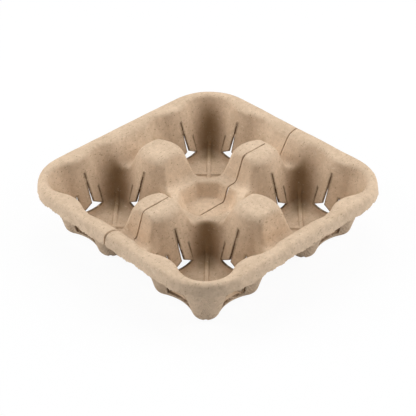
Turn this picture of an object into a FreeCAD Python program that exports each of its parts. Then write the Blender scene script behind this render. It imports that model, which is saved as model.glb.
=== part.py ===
import FreeCAD, Part
import math
import os

import Sketcher
from FreeCAD import Placement, Rotation, Vector

# Moulded pulp carrier for four cups, one sheet of pulp of even thickness.
# Frame: millimetres, +Z up, origin on the ground under the middle of the tray.
# The sheet is what is left of an upper form (the face the cups touch) when a
# lower form (the underside, one wall thickness further in) is taken away.
# A name that ends in share is a part of the rim's side: the plan of the tray keeps
# its proportions when the side changes, while heights and the sheet stay as they are.

SIZES = {
    # Rim and skirt
    "rim_side": (216.0, "width of the square rim at its top"),
    "rim_corner_share": (0.1926, "corner radius of the rim in plan"),
    "rim_height": (52.0, "height of the rim's top above the ground"),
    "rim_bevel": (2.6, "bevel of the rim's outer top edge"),
    "rim_inner_bevel": (1.2, "bevel of the rim's inner top edge"),
    "skirt_drop": (10.0, "height of the skirt below the rim's top"),
    "skirt_flare": (1.5, "how far the skirt's lower edge stands out"),
    "wall_thick": (1.8, "thickness of the pulp"),
    # Cells that hold the cups
    "cell_offset_share": (0.2523, "distance of a cell's axis from the middle lines"),
    "lobe_reach_share": (0.0972, "lobe centre to cell axis, along X and along Y"),
    "lobe_radius_share": (0.0370, "radius of a lobe at the floor"),
    "side_reach_share": (0.1111, "cell axis to the bulge of a side wall, at the floor"),
    "cell_widening_share": (0.0685, "how far all walls lean out between floor and post tops"),
    "foot_bevel": (2.0, "bevel of the outer edge under a cell's floor"),
    # Stiffening ribs on the cell floors
    "rib_wide": (3.6, "width of a floor rib"),
    "rib_tall": (1.6, "height of a floor rib"),
    "rib_overlap": (1.0, "how far a floor rib's ends run into the walls"),
    "groove_wide": (1.6, "width of the groove under a floor rib"),
    "groove_deep": (1.2, "depth of the groove under a floor rib"),
    # Posts between the cells
    "post_rise": (2.5, "height of the post tops above the rim"),
    "post_bevel": (3.0, "bevel round a post's top"),
    # Sunken middle, between the four posts
    "shelf_drop": (20.0, "rim's top down to the shelf between the posts"),
    "shelf_floor_half_share": (0.1509, "half width of the shelf, at its own level"),
    "shelf_mouth_half_share": (0.1903, "half distance between facing posts at their tops"),
    "dish_drop": (33.0, "rim's top down to the floor of the middle dish"),
    "dish_floor_half_share": (0.0856, "half width across flats of the dish floor"),
    "dish_mouth_half_share": (0.1083, "half width across flats of the dish at the shelf"),
    # Saddles between the posts and the rim
    "saddle_floor_inner_share": (0.3574, "middle line to the foot of a post's outer face"),
    "saddle_floor_outer_share": (0.3907, "middle line to the foot of the rim's inner wall"),
    "saddle_mouth_inner_share": (0.3213, "middle line to a post's outer face at its top"),
    "saddle_mouth_outer_share": (0.4537, "middle line to the rim's inner wall at the post tops"),
    "saddle_half_share": (0.1250, "half length of a saddle, which ends in the cells beside it"),
    # Die cut flaps in the side walls of the cells
    "flap_sill": (5.0, "cell floor up to the lower edge of the cut"),
    "flap_half": (12.0, "half width of the cut"),
    "flap_side_tall": (15.0, "height of the short slits at both ends"),
    "flap_middle_tall": (33.0, "height of the long slit in the middle"),
    "flap_tip_tall": (9.0, "height of the flap tips above the sill"),
    "flap_tip_half": (1.5, "half width of the long slit at the flap tips"),
    "slit_wide": (1.0, "width of a closed slit"),
    # Line of slits along which the carrier is torn into two halves
    "tear_middle_start_share": (-0.0417, "start of the middle slit, along Y"),
    "tear_middle_end_share": (0.3074, "end of the middle slit, on the far post"),
    "tear_post_start_share": (-0.3681, "start of the slit over the near post"),
    "tear_post_end_share": (-0.1991, "end of the slit over the near post"),
    "tear_rim_start_share": (0.3926, "inner end of the slits through the rim"),
}

doc = FreeCAD.newDocument("carrier")
sheet = doc.addObject("Spreadsheet::Sheet", "sizes")
for row, (alias, (number, note)) in enumerate(SIZES.items(), start=1):
    sheet.set(f"A{row}", alias)
    sheet.set(f"B{row}", str(number))
    sheet.set(f"C{row}", note)
    sheet.setAlias(f"B{row}", alias)
doc.recompute()


class Size:
    """A length that knows its number and the sheet expression that gives it."""

    def __init__(self, number, text):
        self.number = number
        self.text = text

    def joined(self, other, sign, number):
        text = other.text if isinstance(other, Size) else repr(float(other))
        return Size(number, f"({self.text} {sign} {text})")

    def __add__(self, other):
        return self.joined(other, "+", self.number + plain(other))

    def __sub__(self, other):
        return self.joined(other, "-", self.number - plain(other))

    def __mul__(self, other):
        return self.joined(other, "*", self.number * plain(other))

    def __truediv__(self, other):
        return self.joined(other, "/", self.number / plain(other))

    def __neg__(self):
        return Size(-self.number, f"(-1 * {self.text})")


def plain(value):
    return value.number if isinstance(value, Size) else value


def size(alias):
    return Size(float(sheet.get(alias)), f"sizes.{alias}")


def share(alias):
    return size(f"{alias}_share") * size("rim_side")


def bind(owner, path, value):
    owner.setExpression(path, value.text)


zero = Size(0.0, "0")
wall = size("wall_thick")
rim_top = size("rim_height")
post_top = rim_top + size("post_rise")
cell_floor = wall
shelf_level = rim_top - size("shelf_drop")
dish_level = rim_top - size("dish_drop")
skirt_edge = rim_top - size("skirt_drop")
cell_offset = share("cell_offset")

# The forms reach a little past the sheet wherever a face would otherwise fall
# on a face of the other form.
OVERRUN = 4.0
CORE_MARGIN = 4.0


def plane_of(body, role):
    return next(part for part in body.Origin.OriginFeatures if part.Role == role)


def new_sketch(body, name, role, shift=(zero, zero, zero)):
    """Empty sketch on an origin plane, moved by three sizes along that plane's axes."""
    sketch = body.newObject("Sketcher::SketchObject", name)
    sketch.AttachmentSupport = [(plane_of(body, role), "")]
    sketch.MapMode = "FlatFace"
    base = Vector(*(value.number for value in shift))
    sketch.AttachmentOffset = Placement(base, Rotation())
    for axis, value in zip("xyz", shift):
        bind(sketch, f".AttachmentOffset.Base.{axis}", value)
    return sketch


def dimension(sketch, kind, where, value):
    """Adds one dimension to a sketch and ties it to its size."""
    index = sketch.addConstraint(Sketcher.Constraint(kind, *where, value.number))
    bind(sketch, f"Constraints[{index}]", value)


def arc(centre, radius, start, end):
    circle = Part.Circle(Vector(*centre, 0), Vector(0, 0, 1), radius)
    return Part.ArcOfCircle(circle, math.radians(start), math.radians(end))


def draw_rounded_square(sketch, half, radius):
    """Square about the sketch's origin, with its corners rounded."""
    reach, r = half.number, radius.number
    mid = reach - r
    for turn in range(4):
        spin = Rotation(Vector(0, 0, 1), 90 * turn)
        start = spin.multVec(Vector(-mid, -reach, 0))
        end = spin.multVec(Vector(mid, -reach, 0))
        centre = spin.multVec(Vector(mid, -mid, 0))
        sketch.addGeometry(Part.LineSegment(start, end))
        sketch.addGeometry(arc((centre.x, centre.y), r, 90 * turn - 90, 90 * turn))
    for index in range(8):
        sketch.addConstraint(Sketcher.Constraint("Tangent", index, 2, (index + 1) % 8, 1))
    for line in (0, 4):
        sketch.addConstraint(Sketcher.Constraint("Horizontal", line))
        sketch.addConstraint(Sketcher.Constraint("Vertical", line + 2))
    for corner in (3, 5, 7):
        sketch.addConstraint(Sketcher.Constraint("Equal", 1, corner))
    dimension(sketch, "Radius", (1,), radius)
    dimension(sketch, "DistanceY", (0, 1, -1, 1), half)
    dimension(sketch, "DistanceX", (-1, 1, 2, 1), half)
    dimension(sketch, "DistanceY", (-1, 1, 4, 1), half)
    dimension(sketch, "DistanceX", (6, 1, -1, 1), half)


def draw_cell(sketch, reach, radius, side):
    """Section of a cell: four round lobes on the diagonals, joined by side walls
    that bulge towards the cell's axis and run tangent into the lobes."""
    blend = radius - side
    centre = (reach * reach * 2 - blend * blend) / ((reach + blend) * 2)
    bulge = centre - side
    lean = math.degrees(math.atan2(reach.number, centre.number - reach.number))
    for turn in range(4):
        spin = Rotation(Vector(0, 0, 1), 90 * turn)
        lobe = spin.multVec(Vector(reach.number, reach.number, 0))
        hollow = spin.multVec(Vector(0, centre.number, 0))
        first = 90 * turn
        sketch.addGeometry(arc((lobe.x, lobe.y), radius.number, first - lean, first + 90 + lean))
        sketch.addGeometry(
            arc((hollow.x, hollow.y), bulge.number, first - 90 - lean, first - 90 + lean)
        )
    for turn in range(4):
        lobe, side_arc, next_lobe = 2 * turn, 2 * turn + 1, (2 * turn + 2) % 8
        sketch.addConstraint(Sketcher.Constraint("Tangent", lobe, 2, side_arc, 2))
        sketch.addConstraint(Sketcher.Constraint("Tangent", side_arc, 1, next_lobe, 1))
    for turn in (1, 2, 3):
        sketch.addConstraint(Sketcher.Constraint("Equal", 0, 2 * turn))
        sketch.addConstraint(Sketcher.Constraint("Equal", 1, 2 * turn + 1))
    dimension(sketch, "Radius", (0,), radius)
    dimension(sketch, "Radius", (1,), bulge)
    for lobe, (right, up) in zip((0, 2, 4, 6), ((1, 1), (-1, 1), (-1, -1), (1, -1))):
        dimension(sketch, "DistanceX", (-1, 1, lobe, 3), reach if right > 0 else -reach)
        dimension(sketch, "DistanceY", (-1, 1, lobe, 3), reach if up > 0 else -reach)


def draw_polygon(sketch, points):
    """Closed outline with straight sides, each corner tied to its two sizes."""
    first = len(sketch.Geometry)
    corners = [Vector(x.number, y.number, 0) for x, y in points]
    count = len(corners)
    for index in range(count):
        sketch.addGeometry(Part.LineSegment(corners[index], corners[(index + 1) % count]))
    for index in range(count):
        following = first + (index + 1) % count
        sketch.addConstraint(Sketcher.Constraint("Coincident", first + index, 2, following, 1))
    for index, (x, y) in enumerate(points):
        dimension(sketch, "DistanceX", (-1, 1, first + index, 1), x)
        dimension(sketch, "DistanceY", (-1, 1, first + index, 1), y)


def rectangle(left, right, low, high):
    return [(left, low), (right, low), (right, high), (left, high)]


def around(body, name, *features):
    """Repeats features four times about the tray's middle."""
    pattern = body.newObject("PartDesign::PolarPattern", name)
    pattern.Originals = list(features)
    pattern.Axis = (plane_of(body, "Z_Axis"), [""])
    pattern.Angle = 360
    pattern.Occurrences = 4
    body.Tip = pattern
    doc.recompute()
    return pattern


def slab(body, name, sketch, kind, length, widening=None):
    """Pad or pocket of a sketch, upwards, that widens on the way if asked to."""
    feature = body.newObject(f"PartDesign::{kind}", name)
    feature.Profile = sketch
    feature.Length = length.number
    bind(feature, "Length", length)
    feature.Reversed = kind == "Pocket"
    if widening is not None:
        feature.TaperAngle = math.degrees(math.atan2(widening.number, length.number))
        feature.setExpression("TaperAngle", f"atan({widening.text} / {length.text})")
    doc.recompute()
    return feature


def offsets(inset, low, high, rise):
    """Sideways shifts, at the floor and at the mouth, that move a wall by one inset
    where it leans from low at its floor to high at its mouth and its floor is sunk by
    the same inset."""
    slope = (high - low) / rise
    length = Size(
        math.sqrt(1 + slope.number**2),
        f"sqrt(1 + {slope.text} * {slope.text})",
    )
    return inset * (length - slope), inset * length


def level_edges(feature, level, reach=math.inf):
    """Names of the edges that lie flat at a height, no further out than a reach."""
    names = []
    for index, edge in enumerate(feature.Shape.Edges, start=1):
        box = edge.BoundBox
        flat = abs(box.ZMin - level) < 0.01 and abs(box.ZMax - level) < 0.01
        if flat and max(box.XMax, box.YMax, -box.XMin, -box.YMin) < reach:
            names.append(f"Edge{index}")
    return names


def bevel(body, name, level, width, reach=math.inf):
    """Bevels the edges of the body that lie flat at a height."""
    feature = body.newObject("PartDesign::Chamfer", name)
    feature.Base = (feature.BaseFeature, level_edges(feature.BaseFeature, level.number, reach))
    feature.Size = width.number
    bind(feature, "Size", width)
    doc.recompute()


def build_form(name, inset):
    """Solid under one face of the sheet. inset is how far that face lies inside the
    face that the cups touch: nothing for the upper form, one wall for the lower."""
    below = inset.number > 0
    body = doc.addObject("PartDesign::Body", name)
    tag = name.split("_")[0]

    # Rim with its flared skirt, and its outer top edge rounded
    sketch = new_sketch(body, f"{tag}_rim_outline", "XY_Plane", (zero, zero, rim_top - inset))
    draw_rounded_square(sketch, size("rim_side") / 2 - inset, share("rim_corner") - inset)
    drop = size("skirt_drop") + (OVERRUN if below else -inset)
    rim = body.newObject("PartDesign::Pad", f"{tag}_rim")
    rim.Profile = sketch
    rim.Reversed = True
    rim.Length = drop.number
    bind(rim, "Length", drop)
    rim.TaperAngle = math.degrees(math.atan2(SIZES["skirt_flare"][0], SIZES["skirt_drop"][0]))
    rim.setExpression("TaperAngle", "atan(sizes.skirt_flare / sizes.skirt_drop)")
    doc.recompute()
    narrower = inset * (2 - math.sqrt(2))
    bevel(body, f"{tag}_rim_bevel", rim_top - inset, size("rim_bevel") - narrower)

    # Core from which the cells are sunk, and the block that the posts stand up from
    core_half = size("rim_side") / 2 - CORE_MARGIN + (OVERRUN / 2 if below else 0)
    core_foot = -(inset + OVERRUN)
    sketch = new_sketch(body, f"{tag}_core_outline", "XY_Plane", (zero, zero, core_foot))
    draw_rounded_square(sketch, core_half, share("rim_corner") - CORE_MARGIN - OVERRUN / 2)
    slab(body, f"{tag}_core", sketch, "Pad", skirt_edge + OVERRUN - core_foot)
    island_half = share("saddle_mouth_inner") + share("saddle_floor_inner")
    island_half = island_half / 2
    sketch = new_sketch(body, f"{tag}_post_outline", "XY_Plane", (zero, zero, skirt_edge))
    draw_polygon(sketch, rectangle(-island_half, island_half, -island_half, island_half))
    slab(body, f"{tag}_post_block", sketch, "Pad", post_top - inset - skirt_edge)

    # Shelf between the posts
    rise = post_top - shelf_level
    widening = share("shelf_mouth_half") - share("shelf_floor_half")
    spread, _ = offsets(inset, zero, widening, rise)
    sketch = new_sketch(body, f"{tag}_shelf_outline", "XY_Plane", (zero, zero, shelf_level - inset))
    reach = share("shelf_floor_half") + spread
    draw_polygon(sketch, rectangle(-reach, reach, -reach, reach))
    depth = rise + inset
    slab(body, f"{tag}_shelf", sketch, "Pocket", depth, widening / rise * depth)

    # Saddles between the posts and the rim, cut across by their section
    inner, inner_top = offsets(inset, share("saddle_mouth_inner"), share("saddle_floor_inner"), rise)
    outer, outer_top = offsets(inset, share("saddle_floor_outer"), share("saddle_mouth_outer"), rise)
    sketch = new_sketch(body, f"{tag}_saddle_section", "YZ_Plane")
    draw_polygon(
        sketch,
        [
            (share("saddle_floor_inner") - inner, shelf_level - inset),
            (share("saddle_floor_outer") + outer, shelf_level - inset),
            (share("saddle_mouth_outer") + outer_top, post_top),
            (share("saddle_mouth_inner") - inner_top, post_top),
        ],
    )
    saddle = body.newObject("PartDesign::Pocket", f"{tag}_saddle")
    saddle.Profile = sketch
    saddle.SideType = "Symmetric"
    saddle.Length = (share("saddle_half") * 2).number
    bind(saddle, "Length", share("saddle_half") * 2)
    doc.recompute()
    around(body, f"{tag}_saddles", saddle)

    # Cells
    widening = share("cell_widening")
    spread, _ = offsets(inset, zero, widening, post_top - cell_floor)
    depth = post_top - cell_floor + inset
    shift = (cell_offset, cell_offset, cell_floor - inset)
    sketch = new_sketch(body, f"{tag}_cell_outline", "XY_Plane", shift)
    draw_cell(
        sketch,
        share("lobe_reach"),
        share("lobe_radius") + spread,
        share("side_reach") + spread,
    )
    slope = widening / (post_top - cell_floor)
    cell = slab(body, f"{tag}_cell", sketch, "Pocket", depth, slope * depth)
    around(body, f"{tag}_cells", cell)

    # Dish with eight sides, sunk in the shelf
    rise = shelf_level - dish_level
    widening = share("dish_mouth_half") - share("dish_floor_half")
    spread, _ = offsets(inset, zero, widening, rise)
    sketch = new_sketch(body, f"{tag}_dish_outline", "XY_Plane", (zero, zero, dish_level - inset))
    reach = share("dish_floor_half") + spread
    bend = reach * (math.sqrt(2) - 1)
    draw_polygon(
        sketch,
        [
            (reach, -bend),
            (reach, bend),
            (bend, reach),
            (-bend, reach),
            (-reach, bend),
            (-reach, -bend),
            (-bend, -reach),
            (bend, -reach),
        ],
    )
    slab(body, f"{tag}_dish", sketch, "Pocket", rise, widening)

    # Bevels
    bevel(body, f"{tag}_post_bevel", post_top - inset, size("post_bevel") - narrower)
    if below:
        bevel(body, "foot_bevel", cell_floor - inset, size("foot_bevel"))
    else:
        inner = (size("rim_side") / 2 - size("rim_bevel")).number - 0.1
        bevel(body, "rim_inner_bevel", rim_top, size("rim_inner_bevel"), inner)

    # Ribs that cross on each cell floor, or the grooves under them
    tall = size("groove_deep") if below else size("rib_tall")
    wide = size("groove_wide") if below else size("rib_wide")
    spread, _ = offsets(inset, zero, share("cell_widening"), post_top - cell_floor)
    length = share("lobe_reach") * math.sqrt(2) + share("lobe_radius") + spread
    length = length + size("rib_overlap")
    near = (length - wide / 2) / math.sqrt(2)
    far = (length + wide / 2) / math.sqrt(2)
    ribs = []
    for label, points in (
        ("radial", [(near, far), (-far, -near), (-near, -far), (far, near)]),
        ("crossing", [(-near, far), (far, -near), (near, -far), (-far, near)]),
    ):
        shift = (cell_offset, cell_offset, cell_floor - inset)
        sketch = new_sketch(body, f"{tag}_{label}_rib_outline", "XY_Plane", shift)
        draw_polygon(sketch, points)
        ribs.append(slab(body, f"{tag}_{label}_rib", sketch, "Pad", tall))
    around(body, f"{tag}_ribs", *ribs)
    return body


upper = build_form("upper_form", zero)

# Flaps cut in the side walls of the cells: one cut across the tray passes through
# the four walls that face along it, and the pattern turns it onto the other twelve
sill = cell_floor + size("flap_sill")
sketch = new_sketch(upper, "flap_outline", "XZ_Plane", (cell_offset, sill, zero))
end = size("flap_half")
half_slit = size("slit_wide") / 2
side = size("flap_side_tall")
tip = size("flap_tip_tall")
lip = size("flap_tip_half")
draw_polygon(
    sketch,
    [
        (-(end + half_slit), zero),
        (end + half_slit, zero),
        (end + half_slit, side),
        (end - half_slit, side),
        (end - half_slit, half_slit),
        (lip, tip),
        (half_slit / 4, size("flap_middle_tall")),
        (-(half_slit / 4), size("flap_middle_tall")),
        (-lip, tip),
        (-(end - half_slit), half_slit),
        (-(end - half_slit), side),
        (-(end + half_slit), side),
    ],
)
flaps = upper.newObject("PartDesign::Pocket", "flap_cut")
flaps.Profile = sketch
flaps.Type = "ThroughAll"
flaps.SideType = "Symmetric"
doc.recompute()
around(upper, "flap_cuts", flaps)

# Slits of the tear line, through every level of the sheet
sketch = new_sketch(upper, "tear_outline", "XY_Plane")
edge = size("rim_side") / 2 + OVERRUN
for low, high in (
    (-edge, -share("tear_rim_start")),
    (share("tear_post_start"), share("tear_post_end")),
    (share("tear_middle_start"), share("tear_middle_end")),
    (share("tear_rim_start"), edge),
):
    draw_polygon(sketch, rectangle(-half_slit, half_slit, low, high))
tear = upper.newObject("PartDesign::Pocket", "tear_slits")
tear.Profile = sketch
tear.Type = "ThroughAll"
tear.SideType = "Symmetric"
doc.recompute()

lower = build_form("lower_form", wall)

carrier = doc.addObject("Part::Cut", "cup_carrier")
carrier.Label = "cup_carrier"
carrier.Base = upper
carrier.Tool = lower
doc.recompute()

for item in doc.Objects:
    broken = {"Invalid", "Error"} & set(item.State)
    if broken:
        raise RuntimeError(f"{item.Name} failed: {sorted(broken)}")

os.makedirs("parts", exist_ok=True)
for node in (carrier,):
    shape = node.Shape
    if shape.isNull() or not shape.isValid():
        raise RuntimeError(f"{node.Label} has no valid shape")
    print(f"{node.Label}: {len(shape.Solids)} solid, {shape.Volume / 1000:.1f} cm3, {len(shape.Faces)} faces")
    shape.exportStep(f"parts/{node.Label}.step")
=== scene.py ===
import logging
import math
from dataclasses import dataclass, field
from enum import Enum

import bpy
import numpy as np
from mathutils import Matrix, Vector
from mathutils.geometry import delaunay_2d_cdt


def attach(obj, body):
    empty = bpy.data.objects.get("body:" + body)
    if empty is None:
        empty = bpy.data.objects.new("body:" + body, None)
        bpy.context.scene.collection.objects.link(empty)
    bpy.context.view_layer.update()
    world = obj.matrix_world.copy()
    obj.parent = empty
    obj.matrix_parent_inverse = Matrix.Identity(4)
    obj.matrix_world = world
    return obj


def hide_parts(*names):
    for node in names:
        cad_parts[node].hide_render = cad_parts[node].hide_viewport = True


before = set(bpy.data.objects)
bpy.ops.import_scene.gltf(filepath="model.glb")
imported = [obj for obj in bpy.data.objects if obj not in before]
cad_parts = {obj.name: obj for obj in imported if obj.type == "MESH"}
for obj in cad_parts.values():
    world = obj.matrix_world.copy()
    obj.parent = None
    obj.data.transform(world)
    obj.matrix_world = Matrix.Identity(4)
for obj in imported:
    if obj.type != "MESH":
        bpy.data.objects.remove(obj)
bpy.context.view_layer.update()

log = logging.getLogger("cup_carrier")

# Short names of the types that recur
Array = np.ndarray
Triple = tuple[float, float, float]
Tree = bpy.types.NodeTree
Socket = bpy.types.NodeSocket
Colour = Socket | Triple

# Heights in this file are millimetres from the rim's top, as the sheet was drawn.
# GROUND is the ground's height there, and MILLI turns millimetres into metres.
GROUND = -52.0
MILLI = 0.001


class Half(Enum):
    """The two halves that the tear line divides the tray into."""

    RIGHT = 1
    LEFT = -1


def smooth_step(t: Array) -> Array:
    """Eases from 0 to 1: three times t squared less twice t cubed, with t kept in 0 to 1."""
    t = np.clip(t, 0.0, 1.0)
    return t * t * (3.0 - 2.0 * t)


def soft_union(a: Array, b: Array, radius: float | Array) -> Array:
    """Joins two hollows, and rounds the solid's edge between them.

    The smaller distance, but not below the radius, less the length of what the two
    distances lack to the radius.

    Args:
        a: Distance to the first hollow, negative inside it.
        b: Distance to the second hollow.
        radius: Radius of the rounded edge, one number or one per point.

    Returns:
        The distance to both hollows together.
    """
    lack = np.hypot(np.maximum(radius - a, 0.0), np.maximum(radius - b, 0.0))
    return np.maximum(radius, np.minimum(a, b)) - lack


def soft_overlap(a: Array, b: Array, radius: float | Array) -> Array:
    """Keeps what two hollows share, and fillets the solid's corner between them."""
    return -soft_union(-a, -b, radius)


@dataclass(frozen=True)
class TrayForm:
    """The face of the sheet that the cups touch, as one field that is negative in the air.

    Attributes are millimetres; levels are heights from the rim's top. A name with half,
    reach, inner or outer is a distance from the middle of the tray, a cell or a rib, one
    with mouth or top is that distance level with the post tops, and one with round, edge,
    corner or fillet is a radius. The radius saddle_rim_edge is added next to the rim, and
    fade is the width over which the posts' rise and that radius come in.
    """

    rim_half: float = 108.0
    rim_corner: float = 41.6
    skirt_drop: float = 10.0
    skirt_flare: float = 1.5
    rim_round: float = 3.2
    mouth_round: float = 3.2
    post_round: float = 6.5
    floor: float = -50.2
    post_rise: float = 2.5
    cell_offset: float = 54.5
    lobe_reach: float = 21.0
    lobe_radius: float = 8.0
    side_reach: float = 24.0
    bulge_centre: float = 62.6
    widening: float = 14.8
    shelf: float = -20.0
    shelf_half: float = 32.6
    shelf_mouth: float = 41.1
    dish: float = -33.0
    dish_half: float = 18.5
    dish_mouth: float = 23.4
    saddle_inner: float = 77.2
    saddle_outer: float = 84.4
    saddle_inner_top: float = 69.4
    saddle_outer_top: float = 98.0
    rib_tall: float = 1.8
    rib_half: float = 2.3
    rib_slope: float = 1.1
    rib_on_wall: float = 1.2
    rib_end: float = -34.0
    rib_fade: float = 9.0
    floor_fillet: float = 3.6
    shelf_fillet: float = 3.0
    shelf_edge: float = 3.0
    dish_corner: float = 1.2
    dish_fillet: float = 1.5
    dish_edge: float = 1.7
    saddle_half: float = 29.0
    saddle_edge: float = 3.0
    saddle_rim_edge: float = 2.0
    saddle_rim_reach: float = 80.0
    post_reach: float = 76.0
    fade: float = 4.0
    wall: float = 1.8

    @property
    def rise(self) -> float:
        """Height between a cell's floor and the post tops."""
        return self.post_rise - self.floor

    @property
    def meet(self) -> float:
        """Angle at a bulge's centre from a wall's middle to where a lobe begins."""
        return math.atan2(self.lobe_reach, self.bulge_centre - self.lobe_reach)

    def spread(self, level: Array) -> Array:
        """How far a cell's walls have leaned out at a level."""
        return self.widening * (level - self.floor) / self.rise

    def clover(self, u: Array, v: Array, spread: Array) -> Array:
        """Distance to a cell's section, which has four lobes on its diagonals.

        Folded into one eighth, the section is a lobe's circle beyond the line that
        joins the centres of the lobe and of the wall's bulge, and the bulge's circle,
        seen from outside, before it.

        Args:
            u: First coordinate from the cell's axis.
            v: Second coordinate from the cell's axis.
            spread: How far the walls have leaned out.

        Returns:
            The distance, negative inside the cell.
        """
        a = np.maximum(np.abs(u), np.abs(v))
        b = np.minimum(np.abs(u), np.abs(v))
        reach, centre = self.lobe_reach, self.bulge_centre
        before = (reach - centre) * b - reach * (a - centre) > 0.0
        bulge = (centre - self.side_reach - spread) - np.hypot(a - centre, b)
        lobe = np.hypot(a - reach, b - reach) - (self.lobe_radius + spread)
        return np.where(before, bulge, lobe)

    def section(self, x: Array, y: Array, spread: Array) -> Array:
        """Distance in plan to the section of the nearest cell."""
        return self.clover(np.abs(x) - self.cell_offset, np.abs(y) - self.cell_offset, spread)

    def diagonal(self, x: Array, y: Array) -> Array:
        """Distance in plan to the nearer diagonal of the nearest cell."""
        u, v = np.abs(np.abs(np.stack([x, y])) - self.cell_offset)
        return np.abs(u - v) / math.sqrt(2.0)

    def cells(self, x: Array, y: Array, z: Array, ribs: bool) -> Array:
        """Distance to the four cells, with or without the ribs on their floors.

        Args:
            x, y, z: Plan coordinates and level.
            ribs: Whether the crossed ribs stand on the floors and climb the lobes.

        Returns:
            The distance, negative inside a cell.
        """
        lean = math.cos(math.atan2(self.widening, self.rise))
        wall = self.section(x, y, self.spread(z)) * lean
        floor = self.floor - z
        if ribs:
            ridge = smooth_step((self.rib_half - self.diagonal(x, y)) / self.rib_slope)
            climb = smooth_step((self.rib_end - z) / self.rib_fade)
            wall = wall + self.rib_on_wall * ridge * climb
            floor = floor + self.rib_tall * ridge
        return soft_overlap(wall, floor, self.floor_fillet)

    def middle(self, x: Array, y: Array, z: Array) -> Array:
        """Distance to the square shelf between the posts and the eight-sided dish in it.

        Args:
            x, y, z: Plan coordinates and level.

        Returns:
            The distance, negative in the hollow.
        """
        far = np.maximum(np.abs(x), np.abs(y))
        slope = (self.shelf_mouth - self.shelf_half) / (self.post_rise - self.shelf)
        half = self.shelf_half + slope * (z - self.shelf)
        side = (far - half) / math.hypot(1.0, slope)
        shelf = soft_overlap(side, self.shelf - z, self.shelf_fillet)
        slope = (self.dish_mouth - self.dish_half) / (self.shelf - self.dish)
        half = self.dish_half + slope * (z - self.dish)
        askew = (np.abs(x) + np.abs(y)) / math.sqrt(2.0)
        sides = soft_overlap(far - half, askew - half, self.dish_corner)
        sides = sides / math.hypot(1.0, slope)
        dish = soft_overlap(sides, self.dish - z, self.dish_fillet)
        return soft_union(shelf, dish, self.dish_edge)

    def saddles(self, x: Array, y: Array, z: Array) -> Array:
        """Distance to the four saddles between the posts and the rim.

        Args:
            x, y, z: Plan coordinates and level.

        Returns:
            The distance, negative in a saddle.
        """
        far = np.maximum(np.abs(x), np.abs(y))
        near = np.minimum(np.abs(x), np.abs(y))
        rise = self.post_rise - self.shelf
        lean = (self.saddle_inner - self.saddle_inner_top) / rise
        inner = self.saddle_inner - lean * (z - self.shelf) - far
        inner = inner / math.hypot(1.0, lean)
        lean = (self.saddle_outer_top - self.saddle_outer) / rise
        outer = far - self.saddle_outer - lean * (z - self.shelf)
        outer = outer / math.hypot(1.0, lean)
        across = soft_overlap(np.maximum(inner, outer), self.shelf - z, self.shelf_fillet)
        return np.maximum(across, near - self.saddle_half)

    def outline(self, x: Array, y: Array) -> Array:
        """Distance in plan to the rim's rounded square.

        Args:
            x, y: Plan coordinates.

        Returns:
            The distance, negative inside the square.
        """
        straight = self.rim_half - self.rim_corner
        dx = np.abs(x) - straight
        dy = np.abs(y) - straight
        beyond = np.hypot(np.maximum(dx, 0.0), np.maximum(dy, 0.0))
        return beyond + np.minimum(np.maximum(dx, dy), 0.0) - self.rim_corner

    def air(self, x: Array, y: Array, z: Array, ribs: bool = True) -> Array:
        """The whole field: the air above, round and in the hollows of the tray.

        Args:
            x, y, z: Plan coordinates and level.
            ribs: Whether the ribs on the cell floors count.

        Returns:
            The distance to the air, negative in it.
        """
        far = np.maximum(np.abs(x), np.abs(y))
        on_post = smooth_step((self.post_reach - far) / self.fade)
        top = self.post_rise * on_post - z
        flare = self.skirt_flare / self.skirt_drop
        outside = (flare * -z - self.outline(x, y)) / math.hypot(1.0, flare)
        joined = soft_union(top, outside, self.rim_round)
        edge = self.mouth_round + (self.post_round - self.mouth_round) * on_post
        joined = soft_union(joined, self.cells(x, y, z, ribs), edge)
        by_rim = smooth_step((far - self.saddle_rim_reach) / self.fade)
        edge = self.saddle_edge + self.saddle_rim_edge * by_rim
        joined = soft_union(joined, self.saddles(x, y, z), edge)
        return soft_union(joined, self.middle(x, y, z), self.shelf_edge)

    def height(self, x: Array, y: Array, ribs: bool = True) -> Array:
        """Level of the sheet's upper face over points of the plan, found by halving.

        Args:
            x, y: Plan coordinates.
            ribs: Whether the ribs on the cell floors count.

        Returns:
            One level per point.
        """
        halvings = 26
        low = np.full(x.shape, self.floor - 3.0)
        high = np.full(x.shape, self.post_rise + 2.0)
        for _ in range(halvings):
            level = 0.5 * (low + high)
            solid = self.air(x, y, level, ribs) > 0.0
            low = np.where(solid, level, low)
            high = np.where(solid, high, level)
        return 0.5 * (low + high)

    def normal(self, x: Array, y: Array, z: Array, ribs: bool) -> Array:
        """Unit normals towards the air: the field's downhill direction.

        Args:
            x, y, z: Plan coordinates and level.
            ribs: Whether the ribs on the cell floors count.

        Returns:
            One normal per point.
        """
        step = 0.05
        slopes = [
            self.air(x - step, y, z, ribs) - self.air(x + step, y, z, ribs),
            self.air(x, y - step, z, ribs) - self.air(x, y + step, z, ribs),
            self.air(x, y, z - step, ribs) - self.air(x, y, z + step, ribs),
        ]
        downhill = np.stack(slopes, axis=-1)
        return downhill / np.maximum(np.linalg.norm(downhill, axis=-1, keepdims=True), 1e-9)


@dataclass
class Patch:
    """A part of the plan: points, triangles and how far cut flaps stand into the cell."""

    plan: Array
    triangles: Array
    lift: Array


def strip_triangles(rows: int, columns: int, closed: bool) -> Array:
    """Triangles of a grid, in pairs that share a diagonal.

    Args:
        rows: Rows of points.
        columns: Points in a row.
        closed: Whether the last column joins the first.

    Returns:
        An array of shape (rows - 1, quads in a row, 2, 3).
    """
    number = np.arange(rows * columns).reshape(rows, columns)
    after = np.roll(number, -1, axis=1)
    if not closed:
        number, after = number[:, :-1], after[:, :-1]
    first = np.stack([number[:-1], number[1:], after[1:]], axis=-1)
    second = np.stack([number[:-1], after[1:], after[:-1]], axis=-1)
    return np.stack([first, second], axis=2)


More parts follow.
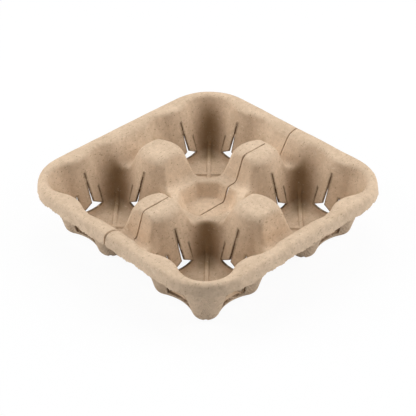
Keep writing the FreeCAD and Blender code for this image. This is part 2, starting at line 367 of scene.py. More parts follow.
@dataclass(frozen=True)
class CellPatch:
    """One cell: rings of points round its axis, with the die cuts of its four walls.

    Attributes:
        form: The tray's form.
        sill: Level of the lower edge of the cuts.
        tip: Level of the flap tips beside the long slit.
        short_top: Level of the top of the short slits.
        long_top: Level of the top of the long slit.
        half: Distance from a wall's middle to a short slit's middle.
        seed, bend: Seed and range of the flaps' bends, in degrees.
        wall_marks: Places of the points along a wall, from its middle.
        lobe_steps, lobe_ease: Points from there to the diagonal, and their spacing's power.
        flap: Places where the slope of a flap's lower edge ends and starts.
        sill_gap: Height of that edge over the sill at its outer end.
        short_rows, long_rows, top_rows: Rows of quads beside the short slits, beside
            the rest of the long slit and above it.
        slit_column: Column of quads that a short slit takes up.
        long_slit, gape_ease: The long slit's half width at its top, what its foot adds
            and the power by which it opens.
        short_slit, short_fade: A short slit's half width at its foot, what its top lacks,
            and the level where it starts to close and the height it takes.
    """

    form: TrayForm
    sill: float = -45.0
    tip: float = -38.5
    short_top: float = -30.0
    long_top: float = -12.5
    half: float = 12.0
    seed: int = 4
    bend: tuple[float, float] = (4.0, 11.0)
    wall_marks: tuple[float, ...] = (0.0, 1.0, 2.5, 4.25, 6.0, 7.75, 9.5, 11.4, 12.6, 14.0)
    lobe_steps: int = 15
    lobe_ease: float = 1.2
    flap: tuple[float, float] = (1.5, 11.4)
    sill_gap: float = 0.45
    short_rows: int = 8
    long_rows: int = 10
    top_rows: int = 8
    slit_column: int = 7
    long_slit: tuple[float, float] = (0.2, 1.1)
    gape_ease: float = 1.2
    short_slit: tuple[float, float] = (0.6, 0.3)
    short_fade: tuple[float, float] = (-38.0, 8.0)

    def rings(self) -> tuple[Array, Array, Array, int]:
        """Rows of the grid, from the axis out.

        Returns:
            The scale and the spread of the rows on the floor, the levels of the rows on
            the wall, and the row of the sill.
        """
        scale = np.array([0.02, 0.045, 0.075, 0.11, 0.15, 0.2, 0.26, 0.33, 0.41, 0.5, 0.6,
                          0.7, 0.8, 0.9])
        spread = np.array([-6.0, -5.1, -4.3, -3.5, -2.8, -2.1, -1.5, -1.0, -0.55, -0.2, 0.1,
                           0.4, 0.7])
        foot = -46.3
        low = np.array([foot, self.sill])
        cut = np.linspace(self.sill + 2.0 * self.sill_gap, self.short_top, self.short_rows + 1)
        long = np.linspace(self.short_top, self.long_top, self.long_rows + 1)[1:]
        top = np.linspace(self.long_top, self.form.post_rise, self.top_rows + 1)[1:]
        levels = np.concatenate([low, cut, long, top])
        sill_row = len(scale) + len(spread) + 1
        return scale, spread, levels, sill_row

    def eighth(self, spread: Array, along: Array) -> Array:
        """Points of a cell's section from the middle of a wall to a diagonal.

        Up to the tangent point the point runs round the bulge's circle, and past it
        round the lobe's circle.

        Args:
            spread: How far the walls have leaned out.
            along: Length along the section from the wall's middle.

        Returns:
            Coordinates across the wall and along it.
        """
        form = self.form
        meet = form.meet
        bulge = form.bulge_centre - form.side_reach - spread
        lobe = form.lobe_radius + spread
        turn = along / bulge
        wall = np.stack([form.bulge_centre - bulge * np.cos(turn), bulge * np.sin(turn)], -1)
        turn = -meet + (along - bulge * meet) / lobe
        end = form.lobe_reach + np.stack([lobe * np.cos(turn), lobe * np.sin(turn)], -1)
        return np.where((along <= bulge * meet)[..., None], wall, end)

    def length(self, spread: Array) -> Array:
        """Length of a section from the middle of a wall to a diagonal."""
        form = self.form
        bulge = form.bulge_centre - form.side_reach - spread
        return bulge * form.meet + (form.lobe_radius + spread) * (math.pi / 4.0 + form.meet)

    def build(self) -> Patch:
        """Lays out the cell about its own axis.

        Returns:
            The patch, with the quads of openings and slits left out. Its last row, the
            mouth, holds the last points of the plan before the axis point.
        """
        form = self.form
        scale, spread_rows, levels, sill_row = self.rings()
        marks = np.array(self.wall_marks)
        walls = len(marks)
        flat = len(scale) + len(spread_rows)
        rows = flat + len(levels)
        share = np.arange(1, self.lobe_steps + 1) / self.lobe_steps
        share = 1.0 - (1.0 - share) ** self.lobe_ease
        first_cut = sill_row + 1
        short_row = first_cut + self.short_rows
        long_row = short_row + self.long_rows
        cut = slice(first_cut, long_row + 1)
        flap_columns = self.slit_column + 1

        # Levels by row and column: the first row of a flap follows the flap's lower edge
        level = np.full((rows, walls + self.lobe_steps), form.floor)
        level[flat:] = levels[:, None]
        inner, outer = self.flap
        slope = np.clip((outer - marks[:flap_columns]) / (outer - inner), 0.0, 1.0)
        edge = self.sill + self.sill_gap + (self.tip - self.sill - self.sill_gap) * slope
        beside = levels[first_cut - flat:long_row + 1 - flat]
        ratio = (beside - beside[0]) / (self.long_top - beside[0])
        level[cut, :flap_columns] = edge + ratio[:, None] * (self.long_top - edge)
        spread = form.spread(level)
        spread[:len(scale)] = spread_rows[0]
        spread[len(scale):flat] = spread_rows[:, None]

        # Lengths along the section: the slits' edges close towards their tops
        along = np.empty_like(level)
        along[:, :walls] = marks
        gape = np.clip((self.long_top - level[cut, 1]) / (self.long_top - self.tip), 0.0, 1.0)
        along[cut, 1] = self.long_slit[0] + self.long_slit[1] * gape ** self.gape_ease
        along[long_row + 1, 1] = 0.5 * marks[1]
        short = slice(first_cut, short_row + 1)
        start, tall = self.short_fade
        closed = smooth_step((level[short, flap_columns] - start) / tall)
        narrow = self.short_slit[0] - self.short_slit[1] * closed
        along[short, self.slit_column] = self.half - narrow
        along[short, flap_columns] = self.half + narrow
        along[:, walls:] = marks[-1] + (self.length(spread[:, walls:]) - marks[-1]) * share
        points = self.eighth(spread, along)
        points[:len(scale)] *= scale[:, None, None]

        # The other seven eighths are turns and mirrors of the first
        steps = walls + self.lobe_steps - 1
        back = points[:, 1:steps][:, ::-1][..., ::-1]
        quarter = np.concatenate([points, back], axis=1)
        turned = [quarter]
        for _ in range(3):
            last = turned[-1]
            turned.append(np.stack([-last[..., 1], last[..., 0]], axis=-1))
        grid = np.concatenate(turned, axis=1)
        columns = grid.shape[1]

        # Quads of the opening and of the slits are left out
        triangles = strip_triangles(rows, columns, closed=True)
        place = np.arange(columns) % (2 * steps)
        column = np.where(place < steps, place, 2 * steps - 1 - place)
        keep = np.ones((rows - 1, columns), dtype=bool)
        keep[sill_row, column < flap_columns] = False
        keep[first_cut:long_row, column == 0] = False
        keep[first_cut:short_row, column == self.slit_column] = False
        axis_point = rows * columns
        ring = np.arange(columns)
        fan = np.stack([np.full(columns, axis_point), ring, np.roll(ring, -1)], axis=-1)
        triangles = np.concatenate([triangles[keep].reshape(-1, 3), fan])

        # Each flap bends into the cell about the line between the tops of its slits
        quarters = [np.hstack([part, part[:, 1:steps][:, ::-1]]) for part in (level, along)]
        all_level, all_along = [np.tile(quarter, (1, 4)) for quarter in quarters]
        slope = (self.long_top - self.short_top) / self.half
        drop = (self.long_top - slope * all_along - all_level) / math.hypot(1.0, slope)
        rng = np.random.default_rng(self.seed)
        flaps = 8
        bends = np.radians(rng.uniform(*self.bend, flaps))
        wall_side = ((np.arange(columns) + steps) // steps) % flaps
        on_flap = np.minimum(place, 2 * steps - place) <= self.slit_column
        on_flap = on_flap[None, :] & (np.arange(rows) >= first_cut)[:, None]
        lift = np.where(on_flap, np.maximum(drop, 0.0) * np.sin(bends)[wall_side][None, :], 0.0)
        plan = np.concatenate([grid.reshape(-1, 2), np.zeros((1, 2))])
        return Patch(plan, triangles, np.concatenate([lift.ravel(), [0.0]]))


@dataclass(frozen=True)
class TearLine:
    """Slits in the plane between the halves, as stretches of the Y axis.

    Attributes:
        stretches: Start and end of each slit.
        half_wide: Half a slit's width.
        ease: Length over which a slit's end opens.
        near_flare, far_flare: What the slits through the near and the far rim add to it.
        flare_start, flare_over: Where that starts, and the length over which it grows.
        close: Places of extra points about a slit's end.
    """

    stretches: tuple[tuple[float, float], ...] = (
        (-120.0, -85.6), (-79.5, -43.0), (-9.0, 66.4), (84.8, 120.0)
    )
    half_wide: float = 0.6
    ease: float = 0.5
    near_flare: float = 0.5
    far_flare: float = 0.15
    flare_start: float = 88.0
    flare_over: float = 18.0
    close: tuple[float, ...] = (-0.5, -0.33, -0.17, 0.0, 0.17, 0.33, 0.5)

    def setback(self, y: Array) -> Array:
        """How far a half's edge stands back: eased in at a slit's ends, wider at the rim.

        Args:
            y: Places along the line.

        Returns:
            Millimetres from the plane.
        """
        back = np.zeros_like(y)
        for low, high in self.stretches:
            ends = smooth_step((y - low) / self.ease) * smooth_step((high - y) / self.ease)
            back = np.maximum(back, ends)
        flare = np.where(y < 0.0, self.near_flare, self.far_flare)
        flare = flare * smooth_step((np.abs(y) - self.flare_start) / self.flare_over)
        wave = 0.12 * np.sin(y * 0.31 + 1.0) + 0.08 * np.sin(y * 0.93)
        return back * (self.half_wide + flare + wave)

    def marks(self, reach: float) -> Array:
        """Places along the line, closer together where a slit ends.

        Args:
            reach: Distance from the middle that the places stay within.

        Returns:
            The places in order.
        """
        margin = 0.5
        least = 0.35
        ends = np.array([end for pair in self.stretches for end in pair])
        near = (ends[:, None] + np.array(self.close)).ravel()
        even = np.arange(-reach + 1.0, reach - margin, 1.0)
        apart = np.abs(even[:, None] - near[None, :]).min(axis=1) > least
        places = np.concatenate([even[apart], near[np.abs(near) < reach - margin]])
        return np.sort(places)


@dataclass(frozen=True)
class RimPatch:
    """The rim's rounded edge and its skirt: rows parallel to the outline of one half.

    Attributes:
        form: The tray's form.
        inset: How far the first row lies inside the outline.
        first: Places of the first points beside the tear line.
        start_points, turn_points, side_points: How many points there are from there to
            the corner, round the corner with both ends, and between the corners.
        rows: Distances of the other rows from the outline, outwards.
    """

    form: TrayForm
    inset: float = 3.4
    first: tuple[float, ...] = (0.0, 0.35, 0.8, 1.4, 2.1)
    start_points: int = 54
    turn_points: int = 56
    side_points: int = 111
    rows: tuple[float, ...] = (-2.7, -2.1, -1.55, -1.1, -0.7, -0.4, -0.15, 0.08, 0.28, 0.45,
                               0.62, 0.8, 0.98, 1.16, 1.32, 1.44)

    def ways(self) -> tuple[Array, Array]:
        """Lays points along the outline of the half with x above 0.

        Returns:
            The points and the outline's outward normals there.
        """
        form = self.form
        straight = form.rim_half - form.rim_corner
        start = np.concatenate([self.first, np.linspace(3.0, straight, self.start_points)])
        turn = np.linspace(-math.pi / 2, 0.0, self.turn_points)[1:-1]
        side = np.linspace(-straight, straight, self.side_points)
        low = np.stack([start, np.full_like(start, -form.rim_half)], -1)
        low_normal = np.tile([0.0, -1.0], (len(start), 1))
        turn_normal = np.stack([np.cos(turn), np.sin(turn)], -1)
        corner = np.array([straight, -straight]) + form.rim_corner * turn_normal
        right = np.stack([np.full_like(side, form.rim_half), side], -1)
        right_normal = np.tile([1.0, 0.0], (len(side), 1))
        flip = np.array([1.0, -1.0])
        points = np.concatenate([low, corner, right, corner[::-1] * flip, low[::-1] * flip])
        normals = [low_normal, turn_normal, right_normal]
        normals += [turn_normal[::-1] * flip, low_normal[::-1] * flip]
        return points, np.concatenate(normals)

    def build(self) -> Patch:
        """Lays out the rows; the skirt's edge is uneven and frayed, so its last rows move with it.

        Returns:
            The patch. Its first row lies inside the rim's rounding.
        """
        points, normals = self.ways()
        steps = np.linalg.norm(np.diff(points, axis=0), axis=1)
        length = np.concatenate([[0.0], np.cumsum(steps)])
        rag = (
            0.45 * np.sin(length * 0.21 + 0.7)
            + 0.35 * np.sin(length * 0.57 + 2.0)
            + 0.3 * np.sin(length * 1.9)
            + np.random.default_rng(7).uniform(-0.3, 0.3, len(length))
        )
        shift = np.array([-self.inset, *self.rows])
        flare = self.form.skirt_flare / self.form.skirt_drop
        rag_start = 0.62
        rag_middle = 0.1
        late = smooth_step((shift - rag_start) / (shift[-1] - rag_start))
        rows = shift[:, None] - late[:, None] * (rag[None, :] - rag_middle) * flare
        plan = points[None] + rows[..., None] * normals[None]
        triangles = strip_triangles(len(shift), len(points), closed=False)
        return Patch(plan.reshape(-1, 2), triangles.reshape(-1, 3), np.zeros(plan.size // 2))


@dataclass(frozen=True)
class Unevenness:
    """Soft dents and swellings of a sheet that was pressed wet and dried freely."""

    height: float = 0.2

    def at(self, points: Array, phase: float) -> Array:
        """Sum of five slow waves in different directions.

        Args:
            points: Places in millimetres.
            phase: Start of the waves.

        Returns:
            Millimetres along the normal.
        """
        ways = np.array([
            [0.11, 0.05, 0.09], [-0.06, 0.13, 0.07], [0.17, -0.12, 0.11],
            [0.04, 0.22, -0.15], [-0.27, -0.08, 0.2],
        ])
        sizes = np.array([0.4, 0.35, 0.28, 0.2, 0.14])
        waves = np.sin(points @ ways.T + phase + np.arange(5.0) * 1.7)
        return self.height * (waves * sizes).sum(axis=1)


@dataclass
class CarrierHalf:
    """One half of the sheet, from the tear line to the rim, as a closed shell.

    Attributes:
        form: The tray's form.
        half: Which half it is.
        tear: The slits between the halves.
        uneven: The sheet's unevenness.
        step: Distance between the points of the web between the cells.
        gap: How far these points stay clear of the mouths and of the rim's rows.
        line_fade: Width beside the tear line over which the slits' setback fades.
        cell_fade: Width round a cell over which its painted shade fades.
        groove_deep, groove_half, groove_slope: Depth of the grooves under the ribs,
            half their width and the width of their slopes.
        sharp: Least angle of an edge that stays sharp, in degrees.
    """

    form: TrayForm
    half: Half
    tear: TearLine = field(default_factory=TearLine)
    uneven: Unevenness = field(default_factory=Unevenness)
    step: float = 1.05
    gap: float = 0.6
    line_fade: float = 3.0
    cell_fade: float = 2.0
    groove_deep: float = 1.1
    groove_half: float = 1.3
    groove_slope: float = 0.9
    sharp: float = 50.0

    def web(self, loops: list[Array], inset: float) -> tuple[Array, Array]:
        """Triangles of the web that joins two cell mouths, the rim and the tear line.

        Args:
            loops: Plan points of the two mouths and of the rim's first row.
            inset: How far the rim's first row lies inside the outline.

        Returns:
            The web's own points, and its triangles over the loops' points and these.
        """
        tolerance = 1e-6
        reach = self.form.rim_half - inset
        marks = self.tear.marks(reach)
        line = np.stack([np.zeros_like(marks), marks], -1)
        x, y = np.meshgrid(
            np.arange(1.0, reach, self.step),
            np.arange(-reach + self.step, reach, self.step),
        )
        inner = np.stack([x.ravel(), y.ravel()], -1)
        inner = inner[self.inside(inner, inset + self.gap, self.gap)]
        points = np.concatenate([*loops, line, inner])
        chains = []
        start = 0
        for loop in loops[:2]:
            ids = start + np.arange(len(loop))
            chains.append(np.append(ids, ids[0]))
            start += len(loop)
        rim = start + np.arange(len(loops[2]))
        line_ids = rim[-1] + 1 + np.arange(len(line))
        chains += [rim, np.concatenate([rim[:1], line_ids, rim[-1:]])]
        edges = np.concatenate([np.stack([ids[:-1], ids[1:]], -1) for ids in chains])
        vertices = [Vector(pair) for pair in points.tolist()]
        result = delaunay_2d_cdt(vertices, edges.tolist(), [], 0, tolerance)
        found, sources = result[2], result[3]
        source = np.array([ids[0] for ids in sources])
        triangles = source[np.array(found)]
        middle = points[triangles].mean(axis=1)
        triangles = triangles[self.inside(middle, inset, 0.0) & (middle[:, 0] > 0.0)]
        corner = points[triangles]
        first = corner[:, 1] - corner[:, 0]
        second = corner[:, 2] - corner[:, 0]
        area = first[:, 0] * second[:, 1] - first[:, 1] * second[:, 0]
        triangles[area < 0.0] = triangles[area < 0.0][:, ::-1]
        return np.concatenate([line, inner]), triangles[np.abs(area) > tolerance]

    def inside(self, points: Array, inset: float, gap: float) -> Array:
        """Whether plan points lie inside the rim by an inset and off the mouths by a gap."""
        mouth = self.form.section(points[:, 0], points[:, 1], self.form.widening)
        return (self.form.outline(points[:, 0], points[:, 1]) < -inset) & (mouth > gap)

    def layout(self) -> Patch:
        """Joins the plans of two cells, the web and the rim of the half with x above 0.

        Returns:
            The patch, opened along the slits of the tear line.
        """
        form = self.form
        first_seed = {Half.RIGHT: 4, Half.LEFT: 14}[self.half]
        patches, loops, ids, start = [], [], [], 0
        for number, middle in enumerate((-form.cell_offset, form.cell_offset)):
            patch = CellPatch(form, seed=first_seed + number).build()
            patch.plan = patch.plan + np.array([form.cell_offset, middle])
            patch.triangles = patch.triangles + start
            columns = 8 * (len(CellPatch.wall_marks) + CellPatch.lobe_steps - 1)
            last = start + len(patch.plan) - 1
            ids.append(np.arange(last - columns, last))
            loops.append(patch.plan[-columns - 1:-1])
            patches.append(patch)
            start += len(patch.plan)
        rim = RimPatch(form)
        patch = rim.build()
        patch.triangles = patch.triangles + start
        count = len(rim.ways()[0])
        ids.append(np.arange(start, start + count))
        loops.append(patch.plan[:count])
        patches.append(patch)
        start += len(patch.plan)
        own, triangles = self.web(loops, rim.inset)
        ids.append(np.arange(start, start + len(own)))
        triangles = np.concatenate(ids)[triangles]
        patches.append(Patch(own, triangles, np.zeros(len(own))))
        plan = np.concatenate([patch.plan for patch in patches])
        near_line = np.clip(1.0 - plan[:, 0] / self.line_fade, 0.0, 1.0)
        plan[:, 0] += self.tear.setback(plan[:, 1]) * near_line
        return Patch(
            plan,
            np.concatenate([patch.triangles for patch in patches]),
            np.concatenate([patch.lift for patch in patches]),
        )

    def painted_lobe_shade(self, x: Array, y: Array, z: Array) -> Array:
        """How far a point lies down in a lobe of a cell: the share of painted shade there.

        The product of the depth, of the nearness to a diagonal and of the distance from
        the cell's axis, each eased, and only on a cell's wall or floor.

        Args:
            x, y, z: Plan coordinates and level.

        Returns:
            Shares from 0 to 1.
        """
        form = self.form
        axis = np.hypot(np.abs(x) - form.cell_offset, np.abs(y) - form.cell_offset)
        least = 0.14
        top, depth = -1.0, 26.0
        lobe_half, lobe_fade = 12.5, 12.0
        axis_clear, axis_fade = 14.0, 16.0
        deep = smooth_step((top - z) / depth)
        lobe = smooth_step((lobe_half - form.diagonal(x, y)) / lobe_fade)
        lobe = lobe * smooth_step((axis - axis_clear) / axis_fade)
        return self.within(x, y, z) * deep * (least + (1.0 - least) * lobe)

    def within(self, x: Array, y: Array, z: Array) -> Array:
        """1 on the walls and floors of the cells, eased to 0 a little way outside."""
        outside = self.form.section(x, y, self.form.spread(z))
        return smooth_step((self.cell_fade - outside) / self.cell_fade)

    def shell(self) -> tuple[Array, Array, dict[str, Array]]:
        """Gives the layout its two faces and closes every edge between them.

        The upper face lies where the field is nothing. The underside is the upper face
        without its ribs, moved by the wall's thickness along its normals, with a groove
        under each rib.

        Returns:
            Points in millimetres, triangles, and one number per point for the finish:
            1 on the underside, how far it lies down in a lobe for the painted shade there, and 1
            on a cut edge for the painted shade along the cuts.
        """
        form = self.form
        patch = self.layout()
        used, triangles = np.unique(patch.triangles, return_inverse=True)
        triangles = triangles.reshape(-1, 3)
        x, y = patch.plan[used].T
        lift = patch.lift[used]
        z = form.height(x, y, True)
        bare = form.height(x, y, False)
        normal = form.normal(x, y, bare, False)
        upper = np.stack([x, y, z], -1)
        lower = np.stack([x, y, bare], -1)
        place = lower * np.array([self.half.value, 1.0, 1.0])
        flat_foot, foot_fade = 2.0, 12.0
        low = smooth_step((z - form.floor - flat_foot) / foot_fade)
        rough = self.uneven.at(place * 5.0, 5.1) * smooth_step(form.outline(x, y) + 1.0)
        shift = lift + self.uneven.at(place, 0.3) * low + rough
        thin = self.uneven.at(place * 1.6, 2.4) * 0.5 * low
        groove = smooth_step((self.groove_half - form.diagonal(x, y)) / self.groove_slope)
        groove_top, groove_fade = 3.0, 2.0
        foot = smooth_step((form.floor + groove_top - bare) / groove_fade)
        groove = self.groove_deep * groove * foot
        upper = upper + normal * shift[:, None]
        lower = lower + normal * (shift - form.wall + thin + groove)[:, None]
        count = len(upper)
        start = triangles[:, [0, 1, 2]].ravel()
        end = triangles[:, [1, 2, 0]].ravel()
        border = ~np.isin(start * count + end, end * count + start)
        start, end = start[border], end[border]
        sides = np.concatenate([
            np.stack([start, start + count, end + count], -1),
            np.stack([start, end + count, end], -1),
        ])
        faces = np.concatenate([triangles, triangles[:, ::-1] + count, sides])
        points = np.concatenate([upper, lower])
        if self.half is Half.LEFT:
            points = points * np.array([-1.0, 1.0, 1.0])
            faces = faces[:, ::-1]
        # Painted shade: a dark mark on the points of every cut edge in the cells, standing in for
        # the shade inside the slits and openings
        painted_cut_shade = np.zeros(count)
        painted_cut_shade[start] = 1.0
        painted_cut_shade = painted_cut_shade * self.within(x, y, z)
        # Two of these marks carry painted shade: deep in the lobes and along the cut edges
        marks = {
            "underside": np.concatenate([np.zeros(count), np.ones(count)]),
            "painted_lobe_shade": np.concatenate([self.painted_lobe_shade(x, y, z), np.zeros(count)]),
            "painted_cut_shade": np.concatenate([painted_cut_shade, painted_cut_shade]),
        }
        return points, faces, marks

    def build(self, material: bpy.types.Material) -> bpy.types.Object:
        """Makes the half's object, in the frame's metres.

        Args:
            material: The pulp.

        Returns:
            The object.
        """
        points, faces, marks = self.shell()
        points = (points - np.array([0.0, 0.0, GROUND])) * MILLI
        points[:, 2] = np.maximum(points[:, 2], 0.0)
        name = f"pulp_sheet_{self.half.name.lower()}"
        mesh = bpy.data.meshes.new(name)
        mesh.from_pydata(points.tolist(), [], faces.tolist())
        mesh.polygons.foreach_set("use_smooth", np.ones(len(faces), dtype=bool))
        for label, values in marks.items():
            mesh.attributes.new(label, "FLOAT", "POINT").data.foreach_set("value", values)
        mesh.update()
        mesh.set_sharp_from_angle(angle=math.radians(self.sharp))
        mesh.materials.append(material)
        piece = bpy.data.objects.new(name, mesh)
        bpy.context.scene.collection.objects.link(piece)
        log.info("%s: %d triangles", name, len(faces))
        return piece


def feed(
    tree: Tree,
    kind: str,
    inputs: dict[str | int, Socket | float | tuple[float, ...]],
    **settings: str | bool,
) -> bpy.types.Node:
    """Adds a node, sets it up and fills its inputs.

    Args:
        tree: The node tree.
        kind: The node's type.
        inputs: Sockets to link and numbers to set, by the inputs' names or places.
        settings: The node's own settings.

    Returns:
        The node.
    """
    node = tree.nodes.new(kind)
    for name, value in settings.items():
        setattr(node, name, value)
    for name, value in inputs.items():
        if isinstance(value, Socket):
            tree.links.new(value, node.inputs[name])
        else:
            node.inputs[name].default_value = value
    return node


def product(tree: Tree, first: Socket, second: Socket | float) -> Socket:
    """Two values multiplied."""
    node = feed(tree, "ShaderNodeMath", {0: first, 1: second}, operation="MULTIPLY")
    return node.outputs["Value"]


@dataclass(frozen=True)
class Noise:
    """A pattern's waves per metre, its octaves and how strong the finer ones are."""

    scale: float
    detail: float
    rough: float

    def socket(self, tree: Tree, place: Socket) -> Socket:
        """The pattern at a place."""
        numbers = {"Scale": self.scale, "Detail": self.detail, "Roughness": self.rough}
        return feed(tree, "ShaderNodeTexNoise", {"Vector": place, **numbers}).outputs["Fac"]


@dataclass(frozen=True)
class PulpFinish:
    """Moulded pulp: matt, tan, mottled, with fibres and specks pressed into it, and with painted
    shade deep in the lobes and along the cut edges.

    Attributes name the colours, the patterns from coarse to fine, how the two finest are
    stretched, the spacing of the forming screen and the depth of the relief in metres.
    """

    light: Triple = (0.76, 0.585, 0.425)
    dark: Triple = (0.60, 0.45, 0.315)
    speck: Triple = (0.24, 0.15, 0.085)
    fibre: Triple = (0.80, 0.68, 0.54)
    # The next two colours are painted shade: deep in the lobes, and along the cut edges
    lobe_shade_tint: Triple = (0.29, 0.19, 0.098)
    painted_cut_shade: Triple = (0.13, 0.078, 0.04)
    roughness: float = 0.92
    gloss: float = 0.18
    cloud: Noise = Noise(38.0, 4.0, 0.6)
    mottle: Noise = Noise(260.0, 5.0, 0.65)
    grain: Noise = Noise(1500.0, 3.0, 0.7)
    flecks: Noise = Noise(1300.0, 2.0, 0.5)
    hairs: Noise = Noise(1100.0, 2.0, 0.5)
    fleck_stretch: Triple = (1.0, 0.28, 0.5)
    hair_stretch: Triple = (0.2, 1.0, 0.6)
    screen_scale: float = 260.0
    relief: float = 0.0009

    def material(self) -> bpy.types.Material:
        """Builds the node material.

        Returns:
            The material, on Object coordinates in metres.
        """
        made = bpy.data.materials.new("moulded_pulp")
        made.use_nodes = True
        tree = made.node_tree
        shader = tree.nodes["Principled BSDF"]
        shader.inputs["Roughness"].default_value = self.roughness
        shader.inputs["Specular IOR Level"].default_value = self.gloss
        place = tree.nodes.new("ShaderNodeTexCoord").outputs["Object"]
        cloud = self.cloud.socket(tree, place)
        mottle = self.mottle.socket(tree, place)
        grain = self.grain.socket(tree, place)
        flecks = self.flecks.socket(tree, self.stretched(tree, place, self.fleck_stretch))
        hairs = self.hairs.socket(tree, self.stretched(tree, place, self.hair_stretch))
        tone = self.weigh(tree, cloud, 0.45, mottle, 0.55)
        colour = self.blend(tree, self.ramp(tree, tone, 0.36, 0.64), self.dark, self.light)
        # Painted shade along the cut edges, broken up by the mottle
        broken_cut_shade = product(tree, self.mark(tree, "painted_cut_shade"), self.ramp(tree, mottle, 0.3, 0.55))
        layers = (
            (self.ramp(tree, grain, 0.62, 0.38), self.dark, 0.55),
            # Painted shade, darker deep down in the lobes
            (self.mark(tree, "painted_lobe_shade"), self.lobe_shade_tint, 0.8),
            # Painted shade along the cut edges
            (broken_cut_shade, self.painted_cut_shade, 0.9),
            (self.ramp(tree, flecks, 0.63, 0.70), self.speck, 0.6),
            (self.ramp(tree, hairs, 0.64, 0.74), self.fibre, 0.55),
        )
        for share, tint, most in layers:
            colour = self.blend(tree, share, colour, tint, most)
        tree.links.new(colour, shader.inputs["Base Color"])
        weave = product(tree, self.waves(tree, place, "X"), self.waves(tree, place, "Y"))
        weave = product(tree, weave, self.mark(tree, "underside"))
        relief = self.weigh(tree, mottle, 0.5, grain, 0.5)
        relief = self.weigh(tree, relief, 1.0, weave, 0.5)
        numbers = {"Strength": 0.9, "Distance": self.relief}
        bump = feed(tree, "ShaderNodeBump", {"Height": relief, **numbers})
        tree.links.new(bump.outputs["Normal"], shader.inputs["Normal"])
        return made

    @staticmethod
    def mark(tree: Tree, name: str) -> Socket:
        """Socket of a number that each point of the mesh carries."""
        return feed(tree, "ShaderNodeAttribute", {}, attribute_name=name).outputs["Fac"]

    @staticmethod
    def stretched(tree: Tree, place: Socket, scale: Triple) -> Socket:
        """The place turned, and scaled so that a pattern on it grows long."""
        inputs = {"Vector": place, "Rotation": (0.5, 0.3, 0.9), "Scale": scale}
        return feed(tree, "ShaderNodeMapping", inputs).outputs["Vector"]

    @staticmethod
    def ramp(tree: Tree, value: Socket, low: float, high: float) -> Socket:
        """The value eased from 0 at low to 1 at high."""
        inputs = {"Value": value, "From Min": low, "From Max": high}
        node = feed(tree, "ShaderNodeMapRange", inputs, interpolation_type="SMOOTHSTEP")
        return node.outputs["Result"]

    @staticmethod
    def weigh(
        tree: Tree, first: Socket, first_share: float, second: Socket, second_share: float
    ) -> Socket:
        """The sum of two values, each times its share."""
        inputs = {0: first, 1: first_share, 2: product(tree, second, second_share)}
        return feed(tree, "ShaderNodeMath", inputs, operation="MULTIPLY_ADD").outputs["Value"]

    @staticmethod
    def blend(
        tree: Tree, share: Socket, first: Colour, second: Colour, most: float = 1.0
    ) -> Socket:
        """Mixes two colours by a share.

        Args:
            tree: The material's nodes.
            share: Socket, 0 for the first colour and 1 for the second.
            first: Colour at 0, a socket or numbers.
            second: Colour at 1.
            most: How much of the second colour comes in at 1.

        Returns:
            The mixed colour's socket.
        """
        share_input, first_input, second_input, mixed_output = 0, 6, 7, 2
        inputs = {share_input: product(tree, share, most)}
        for place, colour in ((first_input, first), (second_input, second)):
            inputs[place] = (*colour, 1.0) if isinstance(colour, tuple) else colour
        return feed(tree, "ShaderNodeMix", inputs, data_type="RGBA").outputs[mixed_output]

    def waves(self, tree: Tree, place: Socket, way: str) -> Socket:
        """Fine waves along an axis, as the wires of the forming screen leave them."""
        inputs = {"Vector": place, "Scale": self.screen_scale, "Distortion": 0.6}
        return feed(tree, "ShaderNodeTexWave", inputs, bands_direction=way).outputs["Fac"]


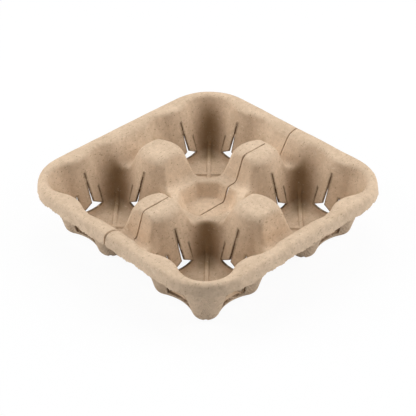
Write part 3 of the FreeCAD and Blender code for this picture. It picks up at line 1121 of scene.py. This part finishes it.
@dataclass(frozen=True)
class Studio:
    """White floor, soft lamps and the camera at the photograph's angle.

    Attributes are degrees, metres and watts. The camera looks at the target, and at
    azimuth 0 along Y. The lens is in millimetres, the sky is the even light's strength,
    and floor_white is how much of the floor's look is plain white.
    """

    azimuth: float = 45.694
    elevation: float = 36.028
    distance: float = 1.010691
    target: Triple = (0.029682, -0.02854, 0.052)
    lens: float = 112.857
    sky: float = 0.12
    side_watts: float = 14.0
    side_distance: float = 1.4
    side_elevation: float = 32.0
    top_watts: float = 7.5
    top_place: Triple = (-0.3, 0.3, 1.2)
    lamp_side: float = 0.9
    floor_half: float = 6.0
    floor_white: float = 0.94

    def floor_material(self) -> bpy.types.Material:
        """White for the camera apart from a trace of the object's shadow.

        Returns:
            The material.
        """
        made = bpy.data.materials.new("studio_floor")
        made.use_nodes = True
        tree = made.node_tree
        tree.nodes.clear()
        rays = tree.nodes.new("ShaderNodeLightPath").outputs
        seen = rays["Is Camera Ray"]
        for ray in ("Is Glossy Ray", "Is Transmission Ray"):
            inputs = {0: seen, 1: rays[ray]}
            both = feed(tree, "ShaderNodeMath", inputs, operation="ADD", use_clamp=True)
            seen = both.outputs["Value"]
        share = product(tree, seen, self.floor_white)
        matt = feed(tree, "ShaderNodeBsdfDiffuse", {"Color": (0.88, 0.89, 0.91, 1.0)})
        glow = feed(tree, "ShaderNodeEmission", {"Color": (1.0, 1.0, 1.0, 1.0)})
        mix = feed(tree, "ShaderNodeMixShader", {0: share, 1: matt.outputs[0], 2: glow.outputs[0]})
        feed(tree, "ShaderNodeOutputMaterial", {"Surface": mix.outputs["Shader"]})
        return made

    def floor(self) -> None:
        """A wide flat floor under the object."""
        mesh = bpy.data.meshes.new("floor")
        side = self.floor_half
        corners = [(-side, -side, 0.0), (side, -side, 0.0), (side, side, 0.0), (-side, side, 0.0)]
        mesh.from_pydata(corners, [], [(0, 1, 2, 3)])
        mesh.materials.append(self.floor_material())
        plane = bpy.data.objects.new("floor", mesh)
        bpy.context.scene.collection.objects.link(plane)

    def world(self) -> None:
        """A dim even sky for the light, white where the camera sees it."""
        made = bpy.data.worlds.new("studio")
        made.use_nodes = True
        tree = made.node_tree
        sky = tree.nodes["Background"]
        sky.inputs["Color"].default_value = (0.97, 0.985, 1.0, 1.0)
        sky.inputs["Strength"].default_value = self.sky
        white = feed(tree, "ShaderNodeBackground", {"Color": (1.0, 1.0, 1.0, 1.0)})
        seen = tree.nodes.new("ShaderNodeLightPath").outputs["Is Camera Ray"]
        mix = feed(tree, "ShaderNodeMixShader", {0: seen, 1: sky.outputs[0], 2: white.outputs[0]})
        tree.links.new(mix.outputs["Shader"], tree.nodes["World Output"].inputs["Surface"])
        bpy.context.scene.world = made

    @staticmethod
    def add(name: str, data: bpy.types.ID, place: Vector, back: Vector) -> bpy.types.Object:
        """Adds a lamp or camera.

        Args:
            name: Its name.
            data: Its data.
            place: Where it is, in metres.
            back: The way that its back faces.

        Returns:
            The object.
        """
        made = bpy.data.objects.new(name, data)
        turn = back.to_track_quat("Z", "Y").to_matrix().to_4x4()
        made.matrix_world = Matrix.Translation(place) @ turn
        bpy.context.scene.collection.objects.link(made)
        return made

    def lamp(self, name: str, place: Vector, watts: float) -> None:
        """A square soft lamp that faces the object.

        Args:
            name: Its name.
            place: Where it hangs, in metres.
            watts: Its power.
        """
        tray_middle = Vector((0.0, 0.0, 0.03))
        data = bpy.data.lights.new(name, "AREA")
        data.shape = "SQUARE"
        data.size = self.lamp_side
        data.energy = watts
        self.add(name, data, place, place - tray_middle)

    def lamps(self) -> None:
        """Two large lamps, left and right of the camera's view, and a weak one above."""
        up = math.radians(self.side_elevation)
        for name, side in (("softbox_right", 1.0), ("softbox_left", -1.0)):
            turn = math.radians(self.azimuth)
            way = Vector((side * math.cos(turn), side * math.sin(turn), 0.0)) * math.cos(up)
            way.z = math.sin(up)
            self.lamp(name, way * self.side_distance, self.side_watts)
        self.lamp("softbox_top", Vector(self.top_place), self.top_watts)

    def camera(self) -> None:
        """The camera looks at the target from the azimuth and elevation."""
        data = bpy.data.cameras.new("camera")
        data.sensor_width = 36.0
        data.lens = self.lens
        turn, up = math.radians(self.azimuth), math.radians(self.elevation)
        back = Vector((
            math.sin(turn) * math.cos(up), -math.cos(turn) * math.cos(up), math.sin(up)
        ))
        place = Vector(self.target) + back * self.distance
        bpy.context.scene.camera = self.add("camera", data, place, back)

    def build(self) -> None:
        """Sets up the floor, the light and the camera."""
        bpy.context.scene.view_settings.view_transform = "Standard"
        self.floor()
        self.world()
        self.lamps()
        self.camera()


def main() -> None:
    """Builds the carrier's two halves and the studio."""
    logging.basicConfig(level=logging.INFO)
    pulp = PulpFinish().material()
    form = TrayForm()
    for half in Half:
        piece = CarrierHalf(form, half).build(pulp)
        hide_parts("cup_carrier")
        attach(piece, "root")
    Studio().build()


if __name__ == "__main__":
    main()
